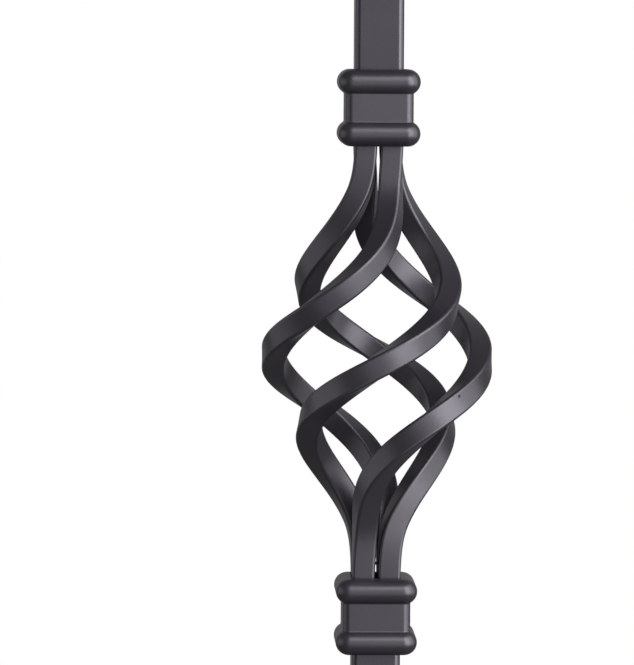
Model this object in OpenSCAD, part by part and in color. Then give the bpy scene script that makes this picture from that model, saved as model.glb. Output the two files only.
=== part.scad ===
// Wrought-iron stair baluster: two twisted square bars, a basket of four
// spiral rods between them, and a cast collar over each joint.
// Upright, in millimetres, with the foot's centre at the origin.

/* [Bar] */
// Length from the foot to the tip of the top pin
overall_l = 1117.6; // [1080:0.1:1250]
// Width across the flats of the square bar
bar_side = 12.7; // [12:0.1:16]
// Radius of the bar's four long edges
bar_edge_r = 1.6; // [0.5:0.1:2.2]

/* [Top pin] */
// Diameter of the round pin
pin_d = 11.1; // [8:0.1:11.8]
// Length of the round pin above the shoulder
pin_l = 20; // [14:0.5:40]
// Chamfer round the pin's tip
pin_chamfer = 0.8; // [0.3:0.1:1.5]
// Height of the turned taper that leads from the bar up to the pin
shoulder_h = 3.5; // [2:0.5:8]
// Diameter of the small hole across the pin
cross_hole_d = 3; // [2:0.1:4]
// Distance of that hole's centre below the pin's tip
cross_hole_drop = 7.5; // [4:0.5:10]

/* [Twists] */
// Length of each twisted stretch of bar
twist_l = 165; // [120:1:190]
// Turn of the bar over that stretch, in degrees
twist_turn = 360; // [180:90:540]
// Height of the upper twist's middle above the basket's middle
upper_twist_rise = 233; // [180:1:300]
// Depth of the lower twist's middle below the basket's middle
lower_twist_drop = 245; // [190:1:320]

/* [Basket] */
// Height of the basket's middle above the foot
basket_z = 635; // [560:1:660]
// Height of the basket between its two collars
basket_l = 112.8; // [95:0.1:140]
// Radius of the basket at its middle, to the centres of the rods
basket_r = 27.2; // [22:0.1:34]
// Gap between neighbouring rods where they run straight
rod_gap = 0.8; // [0.5:0.1:1.6]
// Radius of the rods' long edges
rod_edge_r = 0.8; // [0.3:0.1:1.2]
// Length of rod between the lower collar and the middle of the bend above it
rod_straight_low = 7.3; // [4:0.1:12]
// Length of rod between the upper collar and the middle of the bend below it
rod_straight_high = 4.7; // [4:0.1:12]
// Turn of each rod about the baluster's axis, end to end, in degrees
basket_turn = 270; // [180:5:300]

/* [Collars] */
// Height of a collar
collar_h = 20; // [15:0.5:30]
// Wall of the collar's square neck
collar_wall = 2.35; // [1.5:0.05:4]
// Radius of the neck's upright edges
collar_edge_r = 2; // [1:0.1:3]
// Height of each half-round band
band_h = 6.6; // [4:0.1:7]
// Height that a band stands out from the neck
band_out = 1.8; // [1:0.1:3]
// Radius of the hollow where a band meets the neck
collar_fillet = 0.5; // [0.2:0.1:1]
// Gap all round between a collar and what runs through it
collar_clearance = 0.15; // [0.1:0.05:0.4]

/* [Hidden] */

// The four rods fill the same square as the bar
rod_side = (bar_side - rod_gap) / 2;
rod_end_r = (rod_side + rod_gap) / 2 * sqrt(2);
// Rods and bars meet half-way up inside the collars
joint_rise = (basket_l + collar_h) / 2;
lower_joint_z = basket_z - joint_rise;
upper_joint_z = basket_z + joint_rise;
shoulder_top_z = overall_l - pin_l;
shoulder_z = shoulder_top_z - shoulder_h;
upper_twist_z = basket_z + upper_twist_rise - twist_l / 2;
lower_twist_z = basket_z - lower_twist_drop - twist_l / 2;
bar_corner_reach = (bar_side / 2 - bar_edge_r) * sqrt(2) + bar_edge_r;

// The rods' curve: half its height, its middle, and the shares that shape it
curve_half = (basket_l - rod_straight_low - rod_straight_high) / 2;
curve_z = basket_z + (rod_straight_low - rod_straight_high) / 2;
turn_gain_share = 0.3;
roll_gain_share = 1.3;
end_roll = 45;
ease_share = 0.15;
slope_share = 0.002;

// The hole's edges are tighter than the bar's and the rods', so neither rides on them
hole_edge_share = 0.8;
collar_hole = bar_side + 2 * collar_clearance;
collar_hole_edge_r = min(bar_edge_r, rod_edge_r) * hole_edge_share;
collar_neck = collar_hole + 2 * collar_wall;
neck_reach = collar_neck / 2;
neck_h = collar_h - band_h;
band_r = band_h / 2;
// Half width of the square that the bands' round centre follows
band_path = neck_reach + band_out - band_r;
// Bands and neck turn their corners about the same upright lines
corner_centre = neck_reach - collar_edge_r;
// The hollow's centre, and the point where it meets a band
hollow_reach = neck_reach + collar_fillet;
hollow_drop = sqrt(pow(band_r + collar_fillet, 2) - pow(hollow_reach - band_path, 2));
meeting_share = band_r / (band_r + collar_fillet);
// Length of every cut beyond the faces that it opens
overrun = 1;

// Facets: steps round a long edge, slices of a twist, rings along a rod
edge_steps = 3;
rod_edge_steps = 2;
twist_slices = 72;
rod_rings = 54;
round_fn = 96;
edge_fn = 32;

bar_colour = [0.152, 0.143, 0.164];
rod_colour = [0.152, 0.143, 0.164];
collar_colour = [0.152, 0.143, 0.164];

// Points of a square with round corners, worked round from its first corner
function square_outline(side, edge_r, steps) = [
    for (corner = [0:3]) for (i = [0:steps])
        let (a = 90 * (corner + i / steps), c = 90 * corner + 45,
             reach = (side / 2 - edge_r) * sqrt(2))
        [reach * cos(c) + edge_r * cos(a), reach * sin(c) + edge_r * sin(a)]
];

module rounded_square(side, edge_r) {
    inner = side - 2 * edge_r;
    square([side, inner], center = true);
    square([inner, side], center = true);
    for (x = [-1, 1], y = [-1, 1])
        translate([x * inner / 2, y * inner / 2]) circle(r = edge_r, $fn = edge_fn);
}

// Straight bar between two heights
module straight_bar(z0, z1) {
    translate([0, 0, z0]) linear_extrude(height = z1 - z0)
        polygon(square_outline(bar_side, bar_edge_r, edge_steps));
}

// One twisted stretch, turning to the right as it rises
module twisted_bar(z0) {
    translate([0, 0, z0])
        linear_extrude(height = twist_l, twist = -twist_turn, slices = twist_slices, $fs = bar_side)
            polygon(square_outline(bar_side, bar_edge_r, edge_steps));
}

// Top end of the bar, turned down to a taper under the round pin
module turned_shoulder() {
    intersection() {
        straight_bar(shoulder_z, shoulder_top_z);
        translate([0, 0, shoulder_z])
            cylinder(h = shoulder_h, r1 = bar_corner_reach, r2 = pin_d / 2, $fn = round_fn);
    }
}

module round_pin() {
    translate([0, 0, shoulder_top_z])
        cylinder(h = pin_l - pin_chamfer, d = pin_d, $fn = round_fn);
    translate([0, 0, overall_l - pin_chamfer])
        cylinder(h = pin_chamfer, d1 = pin_d, d2 = pin_d - 2 * pin_chamfer, $fn = round_fn);
}

module upper_bar() {
    color(bar_colour) difference() {
        union() {
            straight_bar(upper_joint_z, upper_twist_z);
            twisted_bar(upper_twist_z);
            straight_bar(upper_twist_z + twist_l, shoulder_z);
            turned_shoulder();
            round_pin();
        }
        translate([0, 0, overall_l - cross_hole_drop]) rotate([90, 0, 0])
            cylinder(h = pin_d + 2 * overrun, d = cross_hole_d, center = true, $fn = round_fn);
    }
}

module lower_bar() {
    color(bar_colour) {
        straight_bar(0, lower_twist_z);
        twisted_bar(lower_twist_z);
        straight_bar(lower_twist_z + twist_l, lower_joint_z);
    }
}

// Height along the curve as a share from -1 to 1, eased where it meets the
// straight ends, so that a rod leaves its straight end without a kink
function eased(s) =
    let (a = abs(s), over = a - 1 + ease_share)
    over <= 0 ? s :
    sign(s) * (a >= 1 + ease_share ? 1 : a - over * over / (4 * ease_share));

function rod_radius(s) =
    rod_end_r + (basket_r - rod_end_r) * (1 + cos(180 * eased(s))) / 2;

// Place round the axis, which changes fastest at the basket's middle
function rod_angle(s) =
    basket_turn / 2 * (eased(s) + turn_gain_share * sin(180 * eased(s)) / PI);

// Turn of the section about the rod, from flat faces outwards at the middle
// to edges outwards at the ends
function rod_roll(s) =
    end_roll * (eased(s) + roll_gain_share * sin(180 * eased(s)) / PI);

function rod_centre(s, start) =
    let (a = start + rod_angle(s))
    [rod_radius(s) * cos(a), rod_radius(s) * sin(a), curve_half * s];

function unit(v) = v / norm(v);

// The section's points at one height, square to the rod
function rod_ring(s, start) =
    let (along = unit(rod_centre(s + slope_share, start) - rod_centre(s - slope_share, start)),
         a = start + rod_angle(s),
         away = [cos(a), sin(a), 0],
         out = unit(away - (away * along) * along),
         across = cross(along, out),
         roll = rod_roll(s),
         face_1 = cos(roll) * out + sin(roll) * across,
         face_2 = cos(roll) * across - sin(roll) * out)
    [for (p = square_outline(rod_side, rod_edge_r, rod_edge_steps))
        rod_centre(s, start) + p[0] * face_1 + p[1] * face_2];

// A rod, swept from its lower end inside one collar to its upper in the other
module basket_rod(number) {
    start = 90 * number;
    curve_end = 1 + ease_share;
    shares = concat(
        [(lower_joint_z - curve_z) / curve_half],
        [for (i = [0:rod_rings]) curve_end * (2 * i / rod_rings - 1)],
        [(upper_joint_z - curve_z) / curve_half]);
    sides = len(square_outline(rod_side, rod_edge_r, rod_edge_steps));
    last = len(shares) - 1;
    points = [for (s = shares) each rod_ring(s, start)];
    walls = [
        for (i = [0:last - 1], j = [0:sides - 1])
            let (k = (j + 1) % sides, low = i * sides, high = low + sides)
            each [[low + j, high + j, high + k], [low + j, high + k, low + k]]
    ];
    ends = [
        [for (j = [0:sides - 1]) j],
        [for (j = [0:sides - 1]) last * sides + sides - 1 - j]
    ];
    color(rod_colour) translate([0, 0, curve_z])
        polyhedron(points = points, faces = concat(walls, ends));
}

// Section of a band's right side and its hollow, drawn from an upright line.
// The hollow lies below the band, on the neck's side
module band_section(from_x) {
    half_w = band_path - from_x;
    translate([0, -band_r]) square([half_w, band_h]);
    translate([half_w, 0]) circle(r = band_r, $fn = round_fn);
    hollow_x = hollow_reach - from_x;
    meeting_x = half_w + (hollow_x - half_w) * meeting_share;
    difference() {
        polygon([
            [0, 0],
            [meeting_x, 0],
            [meeting_x, -hollow_drop * meeting_share],
            [neck_reach - from_x, -hollow_drop],
            [0, -hollow_drop]
        ]);
        translate([hollow_x, -hollow_drop]) circle(r = collar_fillet, $fn = round_fn);
    }
}

// Band round the neck: one section carried along four sides and round the
// corners between them, with the neck below it
module band() {
    for (turn = [0:90:270]) rotate([0, 0, turn]) {
        rotate([90, 0, 0]) linear_extrude(height = 2 * corner_centre, center = true)
            band_section(0);
        translate([corner_centre, corner_centre, 0])
            rotate_extrude(angle = 90, $fn = round_fn) intersection() {
                band_section(corner_centre);
                translate([0, -collar_h / 2]) square([collar_neck, collar_h]);
            }
    }
}

module collar() {
    difference() {
        union() {
            linear_extrude(height = neck_h, center = true)
                rounded_square(collar_neck, collar_edge_r);
            translate([0, 0, neck_h / 2]) band();
            rotate([180, 0, 0]) translate([0, 0, neck_h / 2]) band();
        }
        linear_extrude(height = collar_h + 2 * overrun, center = true)
            rounded_square(collar_hole, collar_hole_edge_r);
    }
}

module upper_collar() {
    color(collar_colour) translate([0, 0, upper_joint_z]) collar();
}

module lower_collar() {
    color(collar_colour) translate([0, 0, lower_joint_z]) collar();
}

upper_bar();
lower_bar();
basket_rod(0);  // basket_rod_1
basket_rod(1);  // basket_rod_2
basket_rod(2);  // basket_rod_3
basket_rod(3);  // basket_rod_4
upper_collar();
lower_collar();
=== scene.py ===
"""Iron stair baluster: the visible surface of its eight solids, and a plain studio.

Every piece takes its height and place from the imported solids. Bars and rods are
square sections carried along their lines, and a collar is one outline carried
round a square. All of it wears a satin charcoal powder coat.
"""

import math

import bmesh
import bpy
from bpy.props import FloatProperty, FloatVectorProperty, IntProperty, PointerProperty
from mathutils import Matrix, Vector


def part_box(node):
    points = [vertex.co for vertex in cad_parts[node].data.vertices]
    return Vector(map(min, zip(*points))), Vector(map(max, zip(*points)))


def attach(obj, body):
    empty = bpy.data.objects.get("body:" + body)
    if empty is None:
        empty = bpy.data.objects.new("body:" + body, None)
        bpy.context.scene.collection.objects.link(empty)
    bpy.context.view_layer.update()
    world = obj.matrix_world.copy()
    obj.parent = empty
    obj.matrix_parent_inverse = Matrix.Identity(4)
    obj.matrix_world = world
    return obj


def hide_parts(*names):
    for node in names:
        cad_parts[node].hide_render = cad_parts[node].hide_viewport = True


bl_info = {
    "name": "Iron Stair Baluster",
    "version": (1, 0, 0),
    "blender": (4, 5, 0),
    "location": "View3D > Sidebar > Baluster",
    "description": "Twisted square bars, a basket of spiral rods and banded collars, powder coated",
    "category": "Add Mesh",
}

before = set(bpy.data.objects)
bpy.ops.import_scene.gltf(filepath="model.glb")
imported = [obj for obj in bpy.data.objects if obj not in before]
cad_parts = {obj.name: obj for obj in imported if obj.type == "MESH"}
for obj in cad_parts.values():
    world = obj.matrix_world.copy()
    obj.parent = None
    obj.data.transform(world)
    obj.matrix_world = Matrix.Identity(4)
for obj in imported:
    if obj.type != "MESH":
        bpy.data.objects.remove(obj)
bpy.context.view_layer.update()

MM = 0.001
BODY = "root"

# Points nearer than this are one
MERGE = 0.001 * MM

# Flats that stand for a quarter round on a bar, a rod and a collar, and for a full round
BAR_EDGE_STEPS = 6
ROD_EDGE_STEPS = 5
COLLAR_EDGE_STEPS = 10
LATHE_STEPS = 96
DRILL_STEPS = 48
FLOOR_STEPS = 96

# How dull the coat's gloss is on each kind of piece
BAR_ROUGHNESS = 0.26
ROD_ROUGHNESS = 0.36
COLLAR_ROUGHNESS = 0.37

FLOOR_RADIUS = 60

# Heights that the solids give
LOWER_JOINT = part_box("lower_bar")[1].z
UPPER_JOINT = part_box("upper_bar")[0].z
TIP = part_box("upper_bar")[1].z
BASKET_Z = (LOWER_JOINT + UPPER_JOINT) / 2
COLLAR_LOW, COLLAR_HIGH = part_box("upper_collar")
COLLAR_HEIGHT = COLLAR_HIGH.z - COLLAR_LOW.z
COLLAR_REACH = COLLAR_HIGH.x
BASKET_HEIGHT = UPPER_JOINT - LOWER_JOINT - COLLAR_HEIGHT


class BarSizes(bpy.types.PropertyGroup):
    """Sizes of the two square bars."""

    side: FloatProperty(
        name="Width", description="Width of the bar across its flats",
        default=12.7 * MM, min=5 * MM, precision=5, unit="LENGTH", subtype="DISTANCE",
    )
    edge_radius: FloatProperty(
        name="Edge radius", description="Radius of the bar's four long edges",
        default=1.6 * MM, min=0.1 * MM, precision=5, unit="LENGTH", subtype="DISTANCE",
    )
    twist_length: FloatProperty(
        name="Twist length", description="Length of each twisted stretch",
        default=165 * MM, min=20 * MM, precision=4, unit="LENGTH", subtype="DISTANCE",
    )
    twist_turn: FloatProperty(
        name="Twist", description="Turn of the bar over a twisted stretch",
        default=math.radians(360), unit="ROTATION", subtype="ANGLE",
    )
    twist_lead: FloatProperty(
        name="Twist lead", description="Share of half a twist over which it starts and stops",
        default=0.05, min=0.01, max=0.3, subtype="FACTOR",
    )
    upper_twist_rise: FloatProperty(
        name="Upper twist", description="Height of the upper twist's middle above the basket's middle",
        default=233 * MM, precision=4, unit="LENGTH", subtype="DISTANCE",
    )
    lower_twist_drop: FloatProperty(
        name="Lower twist", description="Depth of the lower twist's middle below the basket's middle",
        default=245 * MM, precision=4, unit="LENGTH", subtype="DISTANCE",
    )
    pin_diameter: FloatProperty(
        name="Pin diameter", description="Diameter of the round pin at the top",
        default=11.1 * MM, min=2 * MM, precision=5, unit="LENGTH", subtype="DISTANCE",
    )
    pin_length: FloatProperty(
        name="Pin length", description="Length of the round pin above the taper",
        default=20 * MM, min=2 * MM, precision=5, unit="LENGTH", subtype="DISTANCE",
    )
    pin_chamfer: FloatProperty(
        name="Pin chamfer", description="Chamfer round the pin's tip",
        default=0.8 * MM, min=0.1 * MM, precision=5, unit="LENGTH", subtype="DISTANCE",
    )
    taper_height: FloatProperty(
        name="Taper height", description="Height of the turned taper between the bar and the pin",
        default=3.5 * MM, min=0.5 * MM, precision=5, unit="LENGTH", subtype="DISTANCE",
    )
    hole_diameter: FloatProperty(
        name="Cross hole", description="Diameter of the small hole across the pin",
        default=3 * MM, min=0.5 * MM, precision=5, unit="LENGTH", subtype="DISTANCE",
    )
    hole_drop: FloatProperty(
        name="Cross hole depth", description="Distance of the cross hole below the pin's tip",
        default=7.5 * MM, min=2 * MM, precision=5, unit="LENGTH", subtype="DISTANCE",
    )
    rings: IntProperty(
        name="Twist rings", description="Steps along each twisted stretch",
        default=180, min=24, max=600,
    )


class RodSizes(bpy.types.PropertyGroup):
    """Sizes of the four rods of the basket."""

    gap: FloatProperty(
        name="Gap", description="Gap between neighbouring rods where they run straight",
        default=0.8 * MM, min=0.1 * MM, precision=5, unit="LENGTH", subtype="DISTANCE",
    )
    edge_radius: FloatProperty(
        name="Edge radius", description="Radius of a rod's long edges",
        default=0.8 * MM, min=0.1 * MM, precision=5, unit="LENGTH", subtype="DISTANCE",
    )
    straight_low: FloatProperty(
        name="Lower straight", description="Length of rod between the lower collar and its bend",
        default=7.3 * MM, min=0.0, precision=5, unit="LENGTH", subtype="DISTANCE",
    )
    straight_high: FloatProperty(
        name="Upper straight", description="Length of rod between the upper collar and its bend",
        default=4.7 * MM, min=0.0, precision=5, unit="LENGTH", subtype="DISTANCE",
    )
    basket_radius: FloatProperty(
        name="Basket radius", description="Radius of the basket at its middle, to the rods' centres",
        default=27.1 * MM, min=10 * MM, precision=5, unit="LENGTH", subtype="DISTANCE",
    )
    basket_turn: FloatProperty(
        name="Basket turn", description="Turn of each rod about the baluster's axis",
        default=math.radians(270), unit="ROTATION", subtype="ANGLE",
    )
    end_roll: FloatProperty(
        name="Roll", description="Turn of the section from the middle of a rod to its end",
        default=math.radians(45), unit="ROTATION", subtype="ANGLE",
    )
    turn_gain: FloatProperty(
        name="Turn gain", description="How much faster a rod goes round at the basket's middle",
        default=0.3, min=0.0, max=0.9,
    )
    roll_gain: FloatProperty(
        name="Roll gain", description="How much faster a rod rolls at the basket's middle",
        default=1.3, min=0.0, max=3,
    )
    ease: FloatProperty(
        name="Ease", description="Share of half the curve over which it leaves the straight ends",
        default=0.15, min=0.01, max=0.3, subtype="FACTOR",
    )
    drop_rise: FloatProperty(
        name="Drop of coat", description="Height of the drop between two rods above the lower collar",
        default=3.7 * MM, min=0.0, precision=5, unit="LENGTH", subtype="DISTANCE",
    )
    drop_depth: FloatProperty(
        name="Drop depth", description="Distance of that drop in front of the baluster's axis",
        default=3.4 * MM, min=0.0, precision=5, unit="LENGTH", subtype="DISTANCE",
    )
    rings: IntProperty(
        name="Rings", description="Steps along the curve of a rod",
        default=220, min=24, max=600,
    )


class CollarSizes(bpy.types.PropertyGroup):
    """Sizes of the two cast collars."""

    neck: FloatProperty(
        name="Neck width", description="Width of the collar's square neck",
        default=17.7 * MM, min=5 * MM, precision=5, unit="LENGTH", subtype="DISTANCE",
    )
    edge_radius: FloatProperty(
        name="Neck edge radius", description="Radius of the neck's upright edges",
        default=2 * MM, min=0.1 * MM, precision=5, unit="LENGTH", subtype="DISTANCE",
    )
    band_height: FloatProperty(
        name="Band height", description="Height of each half-round band",
        default=6.6 * MM, min=1 * MM, precision=5, unit="LENGTH", subtype="DISTANCE",
    )
    fillet: FloatProperty(
        name="Fillet", description="Radius of the hollow where a band meets the neck",
        default=0.5 * MM, min=0.1 * MM, precision=5, unit="LENGTH", subtype="DISTANCE",
    )
    hole_edge_radius: FloatProperty(
        name="Hole edge radius", description="Radius of the upright edges of the collar's hole",
        default=0.64 * MM, min=0.1 * MM, precision=5, unit="LENGTH", subtype="DISTANCE",
    )
    clearance: FloatProperty(
        name="Clearance", description="Gap all round between a collar and the bar",
        default=0.15 * MM, min=0.0, precision=5, unit="LENGTH", subtype="DISTANCE",
    )


class CoatLook(bpy.types.PropertyGroup):
    """Look of the powder coat."""

    bar_colour: FloatVectorProperty(
        name="Bar colour", description="Colour of the coat on the bars",
        default=(0.020, 0.018, 0.023), size=3, min=0.0, max=1.0, subtype="COLOR",
    )
    rod_colour: FloatVectorProperty(
        name="Rod colour", description="Colour of the coat on the rods",
        default=(0.020, 0.018, 0.023), size=3, min=0.0, max=1.0, subtype="COLOR",
    )
    collar_colour: FloatVectorProperty(
        name="Collar colour", description="Colour of the coat on the collars",
        default=(0.020, 0.018, 0.023), size=3, min=0.0, max=1.0, subtype="COLOR",
    )
    pit_place: FloatVectorProperty(
        name="Pit", description="Place of a small pit in a rod's coat, from the basket's middle",
        default=(20.6 * MM, -17.4 * MM, -7.6 * MM), size=3, precision=5, unit="LENGTH", subtype="XYZ",
    )
    pit_radius: FloatProperty(
        name="Pit radius", description="Radius of that pit",
        default=0.45 * MM, min=0.05 * MM, precision=5, unit="LENGTH", subtype="DISTANCE",
    )


class StudioLook(bpy.types.PropertyGroup):
    """Look of the studio."""

    floor_colour: FloatVectorProperty(
        name="Floor colour", description="Colour of the floor as the camera sees it",
        default=(0.86, 0.86, 0.86), size=3, min=0.0, max=1.0, subtype="COLOR",
    )
    floor_bounce: FloatProperty(
        name="Floor bounce", description="Share of its light that the floor throws back on the iron",
        default=0.16, min=0.0, max=1.0, subtype="FACTOR",
    )
    gloss_share: FloatProperty(
        name="White in gloss", description="Share of the white background that shows in the coat's gloss",
        default=0.08, min=0.0, max=1.0, subtype="FACTOR",
    )
    key_radiance: FloatProperty(
        name="Key light", description="Brightness of the tall softbox at the front right",
        default=4.3, min=0.0,
    )
    side_radiance: FloatProperty(
        name="Side light", description="Brightness of the tall softbox at the right",
        default=1.7, min=0.0,
    )
    front_radiance: FloatProperty(
        name="Front light", description="Brightness of the softbox round the camera",
        default=0.6, min=0.0,
    )
    top_radiance: FloatProperty(
        name="Top light", description="Brightness of the softbox above the camera",
        default=2.8, min=0.0,
    )
    left_radiance: FloatProperty(
        name="Left light", description="Brightness of the wide softbox at the left",
        default=0.65, min=0.0,
    )
    back_radiance: FloatProperty(
        name="Back light", description="Brightness of the wide softbox behind the baluster",
        default=0.2, min=0.0,
    )
    room_strength: FloatProperty(
        name="Room", description="Brightness of the room round the baluster",
        default=0.06, min=0.0,
    )


def write_mesh(bm, mesh, sharp_angle=math.radians(35)):
    """Writes a finished bmesh to a mesh, smooth but for its sharp edges."""
    bmesh.ops.recalc_face_normals(bm, faces=bm.faces)
    for face in bm.faces:
        face.smooth = True
    for edge in bm.edges:
        edge.smooth = not edge.is_manifold or edge.calc_face_angle() < sharp_angle
    bm.to_mesh(mesh)
    bm.free()


def new_piece(name, bm):
    """Turns a finished bmesh into an object."""
    mesh = bpy.data.meshes.new(name)
    write_mesh(bm, mesh)
    piece = bpy.data.objects.new(name, mesh)
    bpy.context.scene.collection.objects.link(piece)
    return piece


def keep_flats_flat(piece):
    """Lets the broad faces set the shading where they meet the rounded edges."""
    weighted = piece.modifiers.new("flat faces", "WEIGHTED_NORMAL")
    weighted.mode = "FACE_AREA"
    weighted.weight = 50
    weighted.keep_sharp = True


def put_on_frame(piece, nodes, coat):
    """Coats a piece, and lets it stand for its solids."""
    piece.data.materials.append(coat)
    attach(piece, BODY)
    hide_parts(*nodes)


def rounded_square(bm, side, edge_radius, steps):
    """A flat square face with round corners, centred on the origin."""
    corners = bmesh.ops.create_grid(bm, x_segments=1, y_segments=1, size=side / 2)["verts"]
    bmesh.ops.bevel(
        bm, geom=corners, offset=edge_radius, affect="VERTICES",
        segments=steps, profile=0.5, material=-1,
    )
    bm.faces.ensure_lookup_table()
    return bm.faces[0]


def carry(bm, face, places):
    """Carries a face through a row of places, and leaves walls behind it."""
    bmesh.ops.transform(bm, matrix=places[0], verts=face.verts)
    for here, there in zip(places, places[1:]):
        made = bmesh.ops.extrude_face_region(bm, geom=[face, *face.edges, *face.verts])["geom"]
        face = next(part for part in made if isinstance(part, bmesh.types.BMFace))
        bmesh.ops.transform(bm, matrix=there @ here.inverted(), verts=face.verts)
    return face


def eased(share, ease):
    """A share from -1 to 1 that stops without a kink at both ends."""
    reach = abs(share)
    over = reach - 1 + ease
    if over <= 0:
        return share
    if reach >= 1 + ease:
        return math.copysign(1, share)
    return math.copysign(reach - over * over / (4 * ease), share)


def spread(low, high, steps):
    """Evenly spaced values from low to high, both ends included."""
    return [low + (high - low) * step / steps for step in range(steps + 1)]


# Bars


def bar_places(sizes, low, twist_middle, high):
    """Where the bar's section lies, from one end to the other."""
    half = sizes.twist_length / 2
    end = 1 + sizes.twist_lead
    places = [Matrix.Translation((0, 0, low))]
    for share in spread(-end, end, sizes.rings):
        turn = sizes.twist_turn / 2 * (1 + eased(share, sizes.twist_lead))
        lift = Matrix.Translation((0, 0, twist_middle + half * share))
        places.append(lift @ Matrix.Rotation(turn, 4, "Z"))
    places.append(Matrix.Translation((0, 0, high)) @ Matrix.Rotation(sizes.twist_turn, 4, "Z"))
    return places


def square_bar(name, sizes, low, twist_middle, high):
    """A square bar with one twisted stretch, cut off square at both ends."""
    bm = bmesh.new()
    section = rounded_square(bm, sizes.side, sizes.edge_radius, BAR_EDGE_STEPS)
    carry(bm, section, bar_places(sizes, low, twist_middle, high))
    return new_piece(name, bm)


def turned_blank(sizes, low):
    """What a lathe leaves at the bar's top end: a taper and a round pin."""
    pin_radius = sizes.pin_diameter / 2
    taper_top = TIP - sizes.pin_length
    taper_low = taper_top - sizes.taper_height
    corner_reach = (sizes.side / 2 - sizes.edge_radius) * math.sqrt(2) + sizes.edge_radius
    outline = [
        (0, low),
        (sizes.side, low),
        (sizes.side, taper_low),
        (corner_reach, taper_low),
        (pin_radius, taper_top),
        (pin_radius, TIP - sizes.pin_chamfer),
        (pin_radius - sizes.pin_chamfer, TIP),
        (0, TIP),
    ]
    bm = bmesh.new()
    verts = [bm.verts.new((radius, 0, height)) for radius, height in outline]
    edges = [bm.edges.new(pair) for pair in zip(verts, verts[1:])]
    bmesh.ops.spin(
        bm, geom=verts + edges, cent=(0, 0, 0), axis=(0, 0, 1),
        angle=math.tau, steps=LATHE_STEPS, use_merge=True,
    )
    bmesh.ops.remove_doubles(bm, verts=bm.verts, dist=MERGE)
    return new_piece("turned blank", bm)


def cross_drill(sizes):
    """The round hole across the pin, as a solid to cut with."""
    bm = bmesh.new()
    lay_down = Matrix.Translation((0, 0, TIP - sizes.hole_drop)) @ Matrix.Rotation(math.pi / 2, 4, "X")
    bmesh.ops.create_cone(
        bm, cap_ends=True, segments=DRILL_STEPS, radius1=sizes.hole_diameter / 2,
        radius2=sizes.hole_diameter / 2, depth=2 * sizes.pin_diameter, matrix=lay_down,
    )
    return new_piece("cross drill", bm)


def cut(piece, tool, operation):
    """Works one piece with another, which is then put away."""
    modifier = piece.modifiers.new(operation, "BOOLEAN")
    modifier.operation = operation
    modifier.solver = "EXACT"
    modifier.object = tool
    worked = piece.evaluated_get(bpy.context.evaluated_depsgraph_get())
    mesh = bpy.data.meshes.new_from_object(worked)
    piece.modifiers.clear()
    piece.data = mesh
    bpy.data.objects.remove(tool)
    bm = bmesh.new()
    bm.from_mesh(mesh)
    bmesh.ops.dissolve_degenerate(bm, edges=bm.edges, dist=2 * MERGE)
    write_mesh(bm, mesh)


# Basket rods


def curve_span(sizes):
    """Middle and half the height of the rods' curve."""
    middle = BASKET_Z + (sizes.straight_low - sizes.straight_high) / 2
    half = (BASKET_HEIGHT - sizes.straight_low - sizes.straight_high) / 2
    return middle, half


def rod_place(sizes, side, start, share):
    """Where a rod's section lies at a share of the curve's half height."""
    curve_z, curve_half = curve_span(sizes)
    end_radius = (side + sizes.gap) / 2 * math.sqrt(2)

    def centre(at):
        here = eased(at, sizes.ease)
        bulge = (1 + math.cos(math.pi * here)) / 2
        radius = end_radius + (sizes.basket_radius - end_radius) * bulge
        gain = sizes.turn_gain * math.sin(math.pi * here) / math.pi
        angle = start + sizes.basket_turn / 2 * (here + gain)
        height = curve_z + curve_half * at
        return Vector((radius * math.cos(angle), radius * math.sin(angle), height)), angle

    step = 0.002
    middle, angle = centre(share)
    along = (centre(share + step)[0] - centre(share - step)[0]).normalized()
    away = Vector((math.cos(angle), math.sin(angle), 0))
    out = (away - away.dot(along) * along).normalized()
    across = along.cross(out)
    here = eased(share, sizes.ease)
    roll = sizes.end_roll * (here + sizes.roll_gain * math.sin(math.pi * here) / math.pi)
    first = math.cos(roll) * out + math.sin(roll) * across
    second = math.cos(roll) * across - math.sin(roll) * out
    turn = Matrix((first, second, along)).transposed().to_4x4()
    return Matrix.Translation(middle) @ turn


def basket_rod(number, sizes, bar_side):
    """One of the four rods, from the lower bar's end to the upper bar's."""
    side = (bar_side - sizes.gap) / 2
    start = number * math.pi / 2
    curve_z, curve_half = curve_span(sizes)
    curve_end = 1 + sizes.ease
    shares = [
        (LOWER_JOINT - curve_z) / curve_half,
        *spread(-curve_end, curve_end, sizes.rings),
        (UPPER_JOINT - curve_z) / curve_half,
    ]
    bm = bmesh.new()
    section = rounded_square(bm, side, sizes.edge_radius, ROD_EDGE_STEPS)
    carry(bm, section, [rod_place(sizes, side, start, share) for share in shares])
    return new_piece(f"coated_rod_{number + 1}", bm)


def coat_drop(sizes):
    """A drop of the coat that bridges the slit between the two front rods."""
    bm = bmesh.new()
    height = LOWER_JOINT + COLLAR_HEIGHT / 2 + sizes.drop_rise
    place = Matrix.Translation((0, -sizes.drop_depth, height))
    bmesh.ops.create_icosphere(bm, subdivisions=3, radius=0.6 * sizes.gap, matrix=place)
    return new_piece("coat_drop", bm)


# Collars


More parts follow.
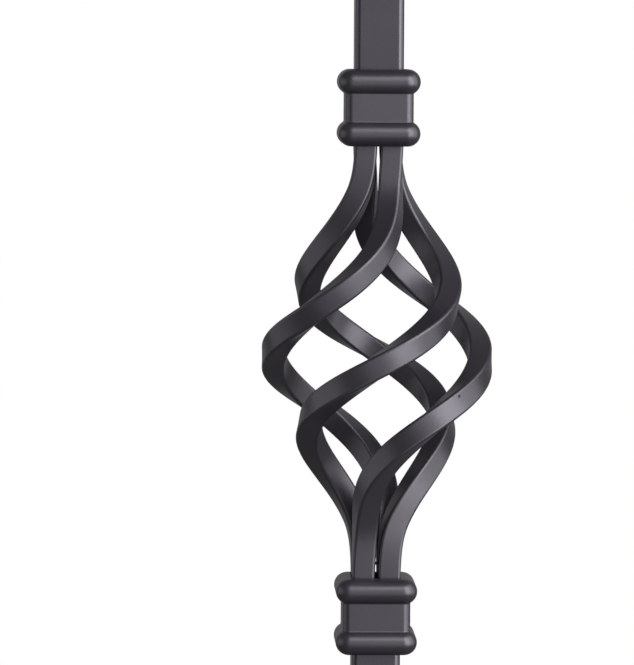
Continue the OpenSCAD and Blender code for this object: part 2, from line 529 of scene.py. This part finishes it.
def collar_outline(bm, sizes):
    """Upright outline of a band, a fillet and half the neck, at the collar's right."""
    neck = sizes.neck / 2
    band_radius = sizes.band_height / 2
    band_x = COLLAR_REACH - band_radius
    band_z = (COLLAR_HEIGHT - sizes.band_height) / 2
    hollow_x = neck + sizes.fillet
    hollow_drop = math.sqrt((band_radius + sizes.fillet) ** 2 - (hollow_x - band_x) ** 2)
    meeting = math.atan2(hollow_drop, hollow_x - band_x)

    start = bm.verts.new((band_x, 0, band_z + band_radius))
    band = bmesh.ops.spin(
        bm, geom=[start], cent=(band_x, 0, band_z), axis=(0, 1, 0),
        angle=math.pi / 2 + meeting, steps=26,
    )
    hollow = bmesh.ops.spin(
        bm, geom=band["geom_last"], cent=(hollow_x, 0, band_z - hollow_drop), axis=(0, -1, 0),
        angle=meeting, steps=6,
    )
    last = hollow["geom_last"][0]
    middle = bmesh.ops.extrude_vert_indiv(bm, verts=[last])["verts"][0]
    middle.co.z = 0
    bmesh.ops.mirror(bm, geom=bm.verts[:] + bm.edges[:], axis="Z", merge_dist=MERGE)
    bmesh.ops.remove_doubles(bm, verts=bm.verts, dist=MERGE)


def carry_round_square(bm, half_side, corner_steps):
    """Carries the outline in bm along four sides and round the corners between them."""
    bmesh.ops.translate(bm, verts=bm.verts, vec=(0, -half_side, 0))
    outline = bm.verts[:] + bm.edges[:]
    for corner in range(4):
        turn = Matrix.Rotation(corner * math.pi / 2, 3, "Z")
        edges = [part for part in outline if isinstance(part, bmesh.types.BMEdge)]
        made = bmesh.ops.extrude_edge_only(bm, edges=edges)
        moved = [part for part in made["geom"] if isinstance(part, bmesh.types.BMVert)]
        bmesh.ops.translate(bm, verts=moved, vec=turn @ Vector((0, 2 * half_side, 0)))
        outline = [part for part in made["geom"] if not isinstance(part, bmesh.types.BMFace)]
        made = bmesh.ops.spin(
            bm, geom=outline, cent=turn @ Vector((half_side, half_side, 0)), axis=(0, 0, 1),
            angle=math.pi / 2, steps=corner_steps,
        )
        outline = made["geom_last"]
    bmesh.ops.remove_doubles(bm, verts=bm.verts, dist=MERGE)


def rim_edges(bm, side):
    """Open edges at the top, side 1, or at the bottom, side -1."""
    return [
        edge for edge in bm.edges
        if edge.is_boundary and all(side * vert.co.z > 0 for vert in edge.verts)
    ]


def make_collar(name, sizes, bar_side, middle_z):
    """A collar with its two bands and its square hole."""
    bm = bmesh.new()
    collar_outline(bm, sizes)
    carry_round_square(bm, sizes.neck / 2 - sizes.edge_radius, COLLAR_EDGE_STEPS)
    for end in (-1, 1):
        bmesh.ops.contextual_create(bm, geom=rim_edges(bm, end))
    bmesh.ops.translate(bm, verts=bm.verts, vec=(0, 0, middle_z))
    collar = new_piece(name, bm)

    hole = bmesh.new()
    hole_side = bar_side + 2 * sizes.clearance
    section = rounded_square(hole, hole_side, sizes.hole_edge_radius, COLLAR_EDGE_STEPS)
    ends = (middle_z - COLLAR_HEIGHT, middle_z + COLLAR_HEIGHT)
    carry(hole, section, [Matrix.Translation((0, 0, end)) for end in ends])
    cut(collar, new_piece("collar hole", hole), "DIFFERENCE")
    return collar


# Powder coat


def link(tree, from_node, from_socket, to_node, to_socket):
    """Joins one node's output to another's input."""
    tree.links.new(from_node.outputs[from_socket], to_node.inputs[to_socket])


def add_noise(tree, place, scale, detail, roughness):
    """Noise on the piece's own coordinates, in waves to the metre."""
    noise = tree.nodes.new("ShaderNodeTexNoise")
    noise.inputs["Scale"].default_value = scale
    noise.inputs["Detail"].default_value = detail
    noise.inputs["Roughness"].default_value = roughness
    tree.links.new(place, noise.inputs["Vector"])
    return noise


def add_range(tree, value, low, high, to_low, to_high):
    """Stretches a value from one range to another."""
    ranged = tree.nodes.new("ShaderNodeMapRange")
    ranged.inputs["From Min"].default_value = low
    ranged.inputs["From Max"].default_value = high
    ranged.inputs["To Min"].default_value = to_low
    ranged.inputs["To Max"].default_value = to_high
    tree.links.new(value, ranged.inputs["Value"])
    return ranged


def add_bump(tree, height, distance, below=None):
    """Relief of a given depth, over the relief of another node."""
    bump = tree.nodes.new("ShaderNodeBump")
    bump.inputs["Strength"].default_value = 1.0
    bump.inputs["Distance"].default_value = distance
    tree.links.new(height, bump.inputs["Height"])
    if below:
        link(tree, below, "Normal", bump, "Normal")
    return bump


def powder_coat(name, colour, roughness):
    """Satin powder coat: fine orange peel over slightly uneven steel."""
    material = bpy.data.materials.new(name)
    material.use_nodes = True
    tree = material.node_tree
    shader = tree.nodes["Principled BSDF"]
    place = tree.nodes.new("ShaderNodeTexCoord").outputs["Object"]

    # Slow change of tone over a few centimetres, and the powder's own speckle
    drift = add_noise(tree, place, 35, 2, 0.5)
    speckle = add_noise(tree, place, 2600, 2, 0.6)
    drift_gain = add_range(tree, drift.outputs["Fac"], 0.3, 0.7, 0.90, 1.10)
    speckle_gain = add_range(tree, speckle.outputs["Fac"], 0.3, 0.7, 0.93, 1.07)
    gain = tree.nodes.new("ShaderNodeMath")
    gain.operation = "MULTIPLY"
    link(tree, drift_gain, "Result", gain, 0)
    link(tree, speckle_gain, "Result", gain, 1)
    tint = tree.nodes.new("ShaderNodeVectorMath")
    tint.operation = "SCALE"
    tint.inputs[0].default_value = colour
    link(tree, gain, "Value", tint, "Scale")
    link(tree, tint, "Vector", shader, "Base Color")

    sheen = add_noise(tree, place, 120, 3, 0.55)
    rough = add_range(tree, sheen.outputs["Fac"], 0.3, 0.7, roughness - 0.03, roughness + 0.03)
    link(tree, rough, "Result", shader, "Roughness")

    # Steel that isn't quite flat, then the orange peel of the coat
    uneven = add_noise(tree, place, 90, 1, 0.4)
    peel = add_noise(tree, place, 1500, 2, 0.5)
    flatness = add_bump(tree, uneven.outputs["Fac"], 0.06 * MM)
    surface = add_bump(tree, peel.outputs["Fac"], 0.004 * MM, below=flatness)
    link(tree, surface, "Normal", shader, "Normal")

    shader.inputs["IOR"].default_value = 1.5
    shader.inputs["Specular IOR Level"].default_value = 1.0
    shader.inputs["Specular Tint"].default_value = (0.93, 0.88, 1.0, 1)
    return material


def pit_the_coat(material, centre, radius):
    """Adds one small matt pit to a coat."""
    tree = material.node_tree
    shader = tree.nodes["Principled BSDF"]
    smooth = shader.inputs["Normal"].links[0].from_node
    away = tree.nodes.new("ShaderNodeVectorMath")
    away.operation = "DISTANCE"
    away.inputs[1].default_value = centre
    link(tree, tree.nodes.new("ShaderNodeTexCoord"), "Object", away, 0)
    pit = add_range(tree, away.outputs["Value"], 0.5 * radius, radius, 1, 0)
    gloss = add_range(tree, pit.outputs["Result"], 0, 1, 1, 0.2)
    link(tree, gloss, "Result", shader, "Specular IOR Level")
    hollow = add_bump(tree, pit.outputs["Result"], -0.1 * MM, below=smooth)
    link(tree, hollow, "Normal", shader, "Normal")


# Studio


def softbox(name, azimuth, distance, height_z, aim_z, size, radiance):
    """A lamp turned to the baluster's axis, in metres. Azimuth 0 is at the front, 90 at the right."""
    turn = math.radians(azimuth)
    toward = Vector((math.sin(turn), -math.cos(turn), 0))
    light = bpy.data.lights.new(name, "AREA")
    light.shape = "RECTANGLE"
    light.size, light.size_y = size
    light.energy = radiance * math.pi * light.size * light.size_y
    lamp = bpy.data.objects.new(name, light)
    lamp.location = Vector((0, 0, height_z)) + toward * distance
    lamp.rotation_euler = (Vector((0, 0, aim_z)) - lamp.location).to_track_quat("-Z", "Y").to_euler()
    lamp.visible_camera = False
    bpy.context.scene.collection.objects.link(lamp)


def add_seen(tree, gloss_share):
    """1 for a ray from the camera or through glass, a share of it off a gloss, else 0."""
    path = tree.nodes.new("ShaderNodeLightPath")
    gloss = tree.nodes.new("ShaderNodeMath")
    gloss.operation = "MULTIPLY"
    gloss.inputs[1].default_value = gloss_share
    link(tree, path, "Is Glossy Ray", gloss, 0)
    direct = tree.nodes.new("ShaderNodeMath")
    direct.operation = "MAXIMUM"
    link(tree, path, "Is Camera Ray", direct, 0)
    link(tree, path, "Is Transmission Ray", direct, 1)
    seen = tree.nodes.new("ShaderNodeMath")
    seen.operation = "MAXIMUM"
    link(tree, direct, "Value", seen, 0)
    link(tree, gloss, "Value", seen, 1)
    return direct, seen


def floor_material(look):
    """Pale floor that takes a shadow near the foot and whitens away from it."""
    material = bpy.data.materials.new("studio floor")
    material.use_nodes = True
    tree = material.node_tree
    tree.nodes.remove(tree.nodes["Principled BSDF"])
    direct, seen = add_seen(tree, look.gloss_share)
    tone = add_range(tree, direct.outputs["Value"], 0, 1, look.floor_bounce, 1)
    colour = tree.nodes.new("ShaderNodeVectorMath")
    colour.operation = "SCALE"
    colour.inputs[0].default_value = look.floor_colour
    link(tree, tone, "Result", colour, "Scale")
    paper = tree.nodes.new("ShaderNodeBsdfDiffuse")
    link(tree, colour, "Vector", paper, "Color")
    white = tree.nodes.new("ShaderNodeEmission")
    white.inputs["Strength"].default_value = 1

    coordinates = tree.nodes.new("ShaderNodeTexCoord")
    away = tree.nodes.new("ShaderNodeVectorMath")
    away.operation = "LENGTH"
    link(tree, coordinates, "Object", away, 0)
    fade = add_range(tree, away.outputs["Value"], 0.05, 0.6, 0.55, 1)
    fade.interpolation_type = "SMOOTHSTEP"
    share = tree.nodes.new("ShaderNodeMath")
    share.operation = "MULTIPLY"
    link(tree, fade, "Result", share, 0)
    link(tree, seen, "Value", share, 1)
    mix = tree.nodes.new("ShaderNodeMixShader")
    link(tree, share, "Value", mix, "Fac")
    link(tree, paper, "BSDF", mix, 1)
    link(tree, white, "Emission", mix, 2)
    link(tree, mix, "Shader", tree.nodes["Material Output"], "Surface")
    return material


def make_world(look):
    """A dim even room that is white where the camera sees it."""
    world = bpy.data.worlds.new("studio")
    bpy.context.scene.world = world
    world.use_nodes = True
    tree = world.node_tree
    room = tree.nodes["Background"]
    room.inputs["Color"].default_value = (1, 1, 1, 1)
    room.inputs["Strength"].default_value = look.room_strength
    white = tree.nodes.new("ShaderNodeBackground")
    white.inputs["Color"].default_value = (1, 1, 1, 1)
    white.inputs["Strength"].default_value = 1
    seen = add_seen(tree, look.gloss_share)[1]
    mix = tree.nodes.new("ShaderNodeMixShader")
    link(tree, seen, "Value", mix, "Fac")
    link(tree, room, "Background", mix, 1)
    link(tree, white, "Background", mix, 2)
    link(tree, mix, "Shader", tree.nodes["World Output"], "Surface")


def make_camera():
    """A near view of the basket and its collars, from a little above the basket."""
    azimuth = math.radians(-2.6)
    distance = 1054 * MM
    height = BASKET_Z + 83.5 * MM
    aim_height = BASKET_Z + 7.5 * MM
    aim_left = 15.7 * MM
    tilt = math.radians(0.3)
    away = Vector((math.sin(azimuth), -math.cos(azimuth), 0))
    right = Vector((math.cos(azimuth), math.sin(azimuth), 0))
    place = Vector((0, 0, height)) + distance * away
    aim = Vector((0, 0, aim_height)) - aim_left * right
    roll = Matrix.Rotation(tilt, 4, "Z")
    turn = (aim - place).to_track_quat("-Z", "Y").to_matrix().to_4x4()
    data = bpy.data.cameras.new("camera")
    data.lens = 218.6
    camera = bpy.data.objects.new("camera", data)
    camera.matrix_world = Matrix.Translation(place) @ turn @ roll
    bpy.context.scene.collection.objects.link(camera)
    bpy.context.scene.camera = camera


class BALUSTER_OT_bars(bpy.types.Operator):
    """Make the two square bars, with their twists and the turned pin"""

    bl_idname = "baluster.bars"
    bl_label = "Square bars"

    def execute(self, context):
        sizes = context.scene.baluster_bar
        look = context.scene.baluster_coat
        coat = powder_coat("bar_coat", look.bar_colour, BAR_ROUGHNESS)
        upper_middle = BASKET_Z + sizes.upper_twist_rise
        lower_middle = BASKET_Z - sizes.lower_twist_drop
        upper = square_bar("coated_upper_bar", sizes, UPPER_JOINT, upper_middle, TIP)
        cut(upper, turned_blank(sizes, UPPER_JOINT - sizes.side), "INTERSECT")
        cut(upper, cross_drill(sizes), "DIFFERENCE")
        lower = square_bar("coated_lower_bar", sizes, 0, lower_middle, LOWER_JOINT)
        for piece, node in ((upper, "upper_bar"), (lower, "lower_bar")):
            keep_flats_flat(piece)
            put_on_frame(piece, [node], coat)
        return {"FINISHED"}


class BALUSTER_OT_rods(bpy.types.Operator):
    """Make the four spiral rods of the basket, with a drop of coat between two of them"""

    bl_idname = "baluster.rods"
    bl_label = "Basket rods"

    def execute(self, context):
        sizes = context.scene.baluster_rod
        look = context.scene.baluster_coat
        coat = powder_coat("rod_coat", look.rod_colour, ROD_ROUGHNESS)
        pit_the_coat(coat, Vector((0, 0, BASKET_Z)) + Vector(look.pit_place), look.pit_radius)
        for number in range(4):
            rod = basket_rod(number, sizes, context.scene.baluster_bar.side)
            keep_flats_flat(rod)
            put_on_frame(rod, [f"basket_rod_{number + 1}"], coat)
        drop = coat_drop(sizes)
        drop.data.materials.append(coat)
        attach(drop, BODY)
        return {"FINISHED"}


class BALUSTER_OT_collars(bpy.types.Operator):
    """Make the two banded collars"""

    bl_idname = "baluster.collars"
    bl_label = "Collars"

    def execute(self, context):
        sizes = context.scene.baluster_collar
        look = context.scene.baluster_coat
        coat = powder_coat("collar_coat", look.collar_colour, COLLAR_ROUGHNESS)
        for node, middle in (("upper_collar", UPPER_JOINT), ("lower_collar", LOWER_JOINT)):
            piece = make_collar(f"coated_{node}", sizes, context.scene.baluster_bar.side, middle)
            keep_flats_flat(piece)
            put_on_frame(piece, [node], coat)
        return {"FINISHED"}


class BALUSTER_OT_studio(bpy.types.Operator):
    """Make the floor, the lamps, the room and the camera"""

    bl_idname = "baluster.studio"
    bl_label = "Studio"

    def execute(self, context):
        look = context.scene.baluster_studio
        context.scene.view_settings.view_transform = "Standard"
        bm = bmesh.new()
        bmesh.ops.create_circle(bm, cap_ends=True, segments=FLOOR_STEPS, radius=FLOOR_RADIUS)
        floor = new_piece("floor", bm)
        floor.data.materials.append(floor_material(look))
        above = BASKET_Z + 345 * MM
        level = BASKET_Z + 45 * MM
        softbox(
            "key", azimuth=40, distance=0.9, height_z=above, aim_z=above,
            size=(0.66, 1.3), radiance=look.key_radiance,
        )
        softbox(
            "side", azimuth=80, distance=0.9, height_z=above, aim_z=above,
            size=(0.66, 1.3), radiance=look.side_radiance,
        )
        softbox(
            "front", azimuth=0, distance=1.2, height_z=0.57, aim_z=0.57,
            size=(0.87, 1.12), radiance=look.front_radiance,
        )
        softbox(
            "top", azimuth=11, distance=1.0, height_z=level + 670 * MM, aim_z=BASKET_Z,
            size=(0.71, 0.55), radiance=look.top_radiance,
        )
        softbox(
            "left", azimuth=-90, distance=1.2, height_z=level, aim_z=level,
            size=(1.39, 0.88), radiance=look.left_radiance,
        )
        softbox(
            "back", azimuth=180, distance=1.0, height_z=0.85, aim_z=0.85,
            size=(1.8, 1.6), radiance=look.back_radiance,
        )
        make_world(look)
        make_camera()
        return {"FINISHED"}


class BALUSTER_PT_panel(bpy.types.Panel):
    """Lists the baluster's sizes and the steps that make it"""

    bl_idname = "BALUSTER_PT_panel"
    bl_label = "Iron Stair Baluster"
    bl_space_type = "VIEW_3D"
    bl_region_type = "UI"
    bl_category = "Baluster"

    def draw(self, context):
        for group, operator in PANEL_ROWS:
            box = self.layout.box()
            settings = getattr(context.scene, group)
            for name in settings.__annotations__:
                box.prop(settings, name)
            if operator:
                box.operator(operator)


PANEL_ROWS = (
    ("baluster_bar", "baluster.bars"),
    ("baluster_rod", "baluster.rods"),
    ("baluster_collar", "baluster.collars"),
    ("baluster_coat", None),
    ("baluster_studio", "baluster.studio"),
)

CLASSES = (
    BarSizes,
    RodSizes,
    CollarSizes,
    CoatLook,
    StudioLook,
    BALUSTER_OT_bars,
    BALUSTER_OT_rods,
    BALUSTER_OT_collars,
    BALUSTER_OT_studio,
    BALUSTER_PT_panel,
)

GROUPS = {
    "baluster_bar": BarSizes,
    "baluster_rod": RodSizes,
    "baluster_collar": CollarSizes,
    "baluster_coat": CoatLook,
    "baluster_studio": StudioLook,
}


def register():
    """Adds the classes and their settings to Blender."""
    for cls in CLASSES:
        bpy.utils.register_class(cls)
    for name, group in GROUPS.items():
        setattr(bpy.types.Scene, name, PointerProperty(type=group))


def unregister():
    """Takes the settings and the classes away again."""
    for name in GROUPS:
        delattr(bpy.types.Scene, name)
    for cls in reversed(CLASSES):
        bpy.utils.unregister_class(cls)


def main():
    """Makes the baluster and its studio."""
    register()
    bpy.ops.baluster.bars()
    bpy.ops.baluster.rods()
    bpy.ops.baluster.collars()
    bpy.ops.baluster.studio()


if __name__ == "__main__":
    main()
